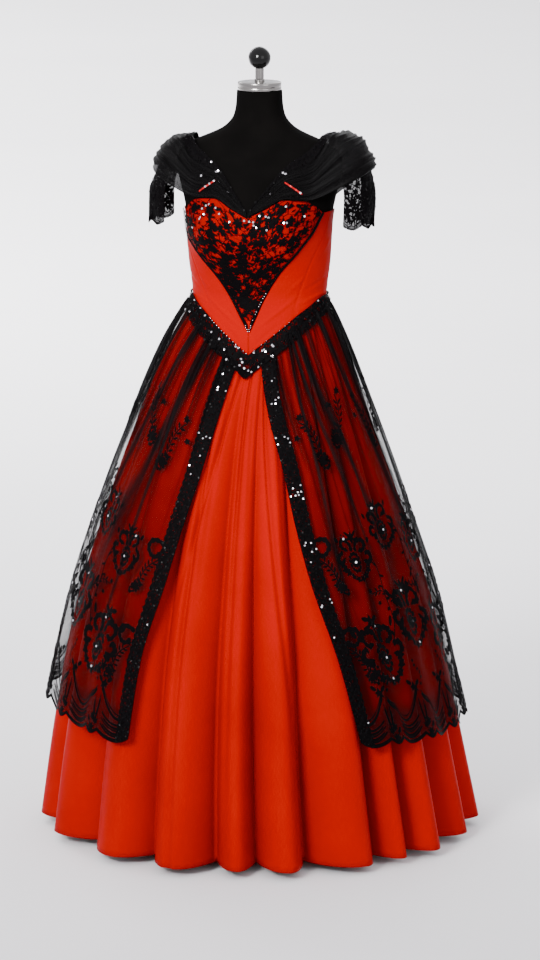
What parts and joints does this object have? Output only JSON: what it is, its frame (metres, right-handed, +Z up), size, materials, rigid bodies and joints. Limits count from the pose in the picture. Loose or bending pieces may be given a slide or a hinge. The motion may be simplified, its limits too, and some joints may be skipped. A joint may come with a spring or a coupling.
{
  "type": "ball gown on a limbless dress form with stand",
  "caption": "Floor-length ball gown with a pointed bodice, draped cap sleeves and an open tulle overskirt, standing on a limbless dress form with a pole and round base.",
  "frame": {"origin": "on the floor, centre of the base plate's underside", "axes": "+Z up, the gown's front towards -Y, +X to the right as seen from the front"},
  "size_m": [0.8754, 0.8845, 1.5528],
  "materials": {
    "stand_metal": "semi-matt black",
    "form_jersey": "black jersey",
    "polished_metal": "polished",
    "gloss_black": "gloss black",
    "red_satin": "red satin",
    "black_lace": "black lace with sequins",
    "black_tulle": "black tulle"
  },
  "bodies": {
    "root": {"base_plate": "stand_metal", "pole": "stand_metal", "pole_collar": "stand_metal", "form_body": "form_jersey", "neck_cap": "polished_metal", "knob_rod": "polished_metal", "knob": "gloss_black", "heart_panel": "red_satin", "heart_lace": "black_lace", "heart_piping_left": "black_lace", "heart_piping_right": "black_lace", "side_front_left": "red_satin", "side_front_right": "red_satin", "back_left": "red_satin", "back_right": "red_satin", "sleeve_tulle_left": "black_tulle", "sleeve_tulle_right": "black_tulle", "sleeve_lace_left": "black_lace", "sleeve_lace_right": "black_lace", "neck_trim_left": "black_lace", "neck_trim_right": "black_lace", "bust_strip_left": "red_satin", "bust_strip_right": "red_satin", "waist_band_left": "black_lace", "waist_band_right": "black_lace", "skirt_front": "red_satin", "skirt_side_left": "red_satin", "skirt_side_right": "red_satin", "skirt_back_left": "red_satin", "skirt_back_right": "red_satin", "overskirt_left": "black_tulle", "overskirt_right": "black_tulle", "edge_band_left": "black_lace", "edge_band_right": "black_lace"}
  },
  "joints": []
}
